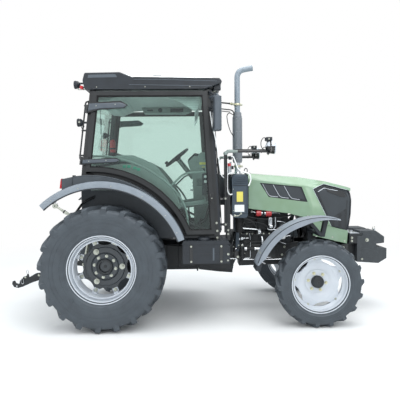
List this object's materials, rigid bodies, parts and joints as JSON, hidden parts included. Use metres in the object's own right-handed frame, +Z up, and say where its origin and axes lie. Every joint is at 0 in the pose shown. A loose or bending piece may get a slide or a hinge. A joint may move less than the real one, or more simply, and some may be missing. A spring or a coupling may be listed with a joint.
{
  "type": "farm tractor",
  "caption": "Compact farm tractor with a glazed cab, upright exhaust, front ballast, lugged tyres and a rear three-point linkage.",
  "frame": {"origin": "on the ground, under the middle of the tractor's overall length and width", "axes": "+X forward, +Y to the driver's left, +Z up"},
  "size_m": [4.626, 1.89, 3.0245],
  "materials": {
    "paint_green": "satin",
    "paint_dark": "satin",
    "paint_black": "satin",
    "paint_white": "gloss",
    "rim_silver": "satin",
    "tyre": "matte",
    "cast_iron": "matte",
    "steel": "satin",
    "exhaust_steel": "satin",
    "glass": "gloss",
    "plastic_black": "matte",
    "plastic_grey": "matte",
    "lens_red": "gloss",
    "seat_fabric": "matte"
  },
  "bodies": {
    "chassis": {"transmission_housing": "cast_iron", "rear_axle_tubes": "cast_iron", "engine_block": "cast_iron", "cooling_pack": "paint_black", "front_frame": "paint_black", "front_axle": "cast_iron", "cab_floor": "paint_dark", "cab_frame": "paint_black", "cab_windows": "glass", "roof_band": "plastic_black", "roof_cap": "paint_white", "rear_fenders": "plastic_grey", "tail_lamps": "lens_red", "dash_console": "plastic_black", "steering_wheel": "plastic_black", "seat": "seat_fabric", "side_consoles": "plastic_grey", "scuttle": "paint_dark", "hood_lower_panels": "paint_green", "filter_box": "plastic_black", "exhaust_stack": "exhaust_steel", "fuel_tank": "plastic_black", "battery_box_and_step": "paint_black", "front_mudguards": "plastic_black", "weight_carrier": "cast_iron", "front_weights": "cast_iron", "work_lamps": "plastic_black", "front_lamps": "plastic_black", "mirrors": "plastic_black", "pto_guard": "paint_black"},
    "rear_wheel_left": {"rear_tyre_left": "tyre", "rear_rim_left": "rim_silver", "rear_hub_left": "paint_dark"},
    "knuckle_left": {"knuckle_left": "cast_iron"},
    "front_wheel_left": {"front_tyre_left": "tyre", "front_rim_left": "rim_silver", "front_hub_left": "paint_dark"},
    "door_left": {"door_frame_left": "paint_black", "door_glass_left": "glass"},
    "lower_link_left": {"lower_link_left": "cast_iron"},
    "lift_rod_left": {"lift_rod_left": "steel"},
    "rear_wheel_right": {"rear_tyre_right": "tyre", "rear_rim_right": "rim_silver", "rear_hub_right": "paint_dark"},
    "knuckle_right": {"knuckle_right": "cast_iron"},
    "front_wheel_right": {"front_tyre_right": "tyre", "front_rim_right": "rim_silver", "front_hub_right": "paint_dark"},
    "door_right": {"door_frame_right": "paint_black", "door_glass_right": "glass"},
    "lower_link_right": {"lower_link_right": "cast_iron"},
    "lift_rod_right": {"lift_rod_right": "steel"},
    "hood": {"hood_shell": "paint_green", "hood_grille": "paint_dark", "hood_side_vents": "paint_dark"},
    "lift_arms": {"lift_arms": "cast_iron"},
    "top_link": {"top_link": "steel"},
    "pto_shaft": {"pto_shaft": "steel"},
    "steering_rod": {"steering_rod": "steel"}
  },
  "joints": [
    {"name": "rear_wheel_spin_left", "type": "hinge", "parent": "chassis", "child": "rear_wheel_left", "pos_m": [-1.129, 0.75, 0.7], "axis": [0, 1, 0], "continuous": true},
    {"name": "rear_wheel_spin_right", "type": "hinge", "parent": "chassis", "child": "rear_wheel_right", "pos_m": [-1.129, -0.75, 0.7], "axis": [0, 1, 0], "continuous": true},
    {"name": "steer_left", "type": "hinge", "parent": "chassis", "child": "knuckle_left", "pos_m": [1.291, 0.545, 0.492], "axis": [0, 0, 1], "range_deg": [-40, 40]},
    {"name": "steer_right", "type": "hinge", "parent": "chassis", "child": "knuckle_right", "pos_m": [1.291, -0.545, 0.492], "axis": [0, 0, 1], "range_deg": [-40, 40]},
    {"name": "front_wheel_spin_left", "type": "hinge", "parent": "knuckle_left", "child": "front_wheel_left", "pos_m": [1.291, 0.745, 0.492], "axis": [0, 1, 0], "continuous": true},
    {"name": "front_wheel_spin_right", "type": "hinge", "parent": "knuckle_right", "child": "front_wheel_right", "pos_m": [1.291, -0.745, 0.492], "axis": [0, 1, 0], "continuous": true},
    {"name": "steering_rod_slide", "type": "slide", "parent": "chassis", "child": "steering_rod", "axis": [0, 1, 0], "range_m": [-0.13, 0.13]},
    {"name": "door_left", "type": "hinge", "parent": "chassis", "child": "door_left", "pos_m": [-1.375, 0.7297, 1.84914], "axis": [0.1263, -0.0277, 0.9916], "range_deg": [0, 70]},
    {"name": "door_right", "type": "hinge", "parent": "chassis", "child": "door_right", "pos_m": [-1.375, -0.7297, 1.84914], "axis": [-0.1263, -0.0277, -0.9916], "range_deg": [0, 70]},
    {"name": "hood_hinge", "type": "hinge", "parent": "chassis", "child": "hood", "pos_m": [0.575, 0, 1.726], "axis": [0, -1, 0], "range_deg": [0, 50]},
    {"name": "lift_arms_pivot", "type": "hinge", "parent": "chassis", "child": "lift_arms", "pos_m": [-1.279, 0, 1.01], "axis": [0, 1, 0], "range_deg": [-14, 46]},
    {"name": "lower_link_left", "type": "hinge", "parent": "chassis", "child": "lower_link_left", "pos_m": [-1.089, 0.245, 0.47], "axis": [0, 1, 0], "range_deg": [-7, 22]},
    {"name": "lift_rod_left", "type": "hinge", "parent": "lift_arms", "child": "lift_rod_left", "pos_m": [-1.5431, 0.266, 0.9539], "axis": [0, 1, 0], "range_deg": [-51, 16]},
    {"name": "lower_link_right", "type": "hinge", "parent": "chassis", "child": "lower_link_right", "pos_m": [-1.089, -0.245, 0.47], "axis": [0, 1, 0], "range_deg": [-7, 22]},
    {"name": "lift_rod_right", "type": "hinge", "parent": "lift_arms", "child": "lift_rod_right", "pos_m": [-1.5431, -0.266, 0.9539], "axis": [0, 1, 0], "range_deg": [-51, 16]},
    {"name": "top_link_pivot", "type": "hinge", "parent": "chassis", "child": "top_link", "pos_m": [-1.459, 0, 1.045], "axis": [0, 1, 0], "range_deg": [-50, 8]},
    {"name": "pto_spin", "type": "hinge", "parent": "chassis", "child": "pto_shaft", "pos_m": [-1.399, 0, 0.59], "axis": [1, 0, 0], "continuous": true}
  ],
  "couplings": [
    {"joint": "steer_right", "follows": "steer_left", "ratio": 1},
    {"joint": "steering_rod_slide", "follows": "steer_left", "m_per_rad": -0.18},
    {"joint": "lower_link_left", "follows": "lift_arms_pivot", "ratio": 0.465},
    {"joint": "lower_link_right", "follows": "lift_arms_pivot", "ratio": 0.465},
    {"joint": "lift_rod_left", "follows": "lift_arms_pivot", "ratio": -1.1},
    {"joint": "lift_rod_right", "follows": "lift_arms_pivot", "ratio": -1.1}
  ]
}
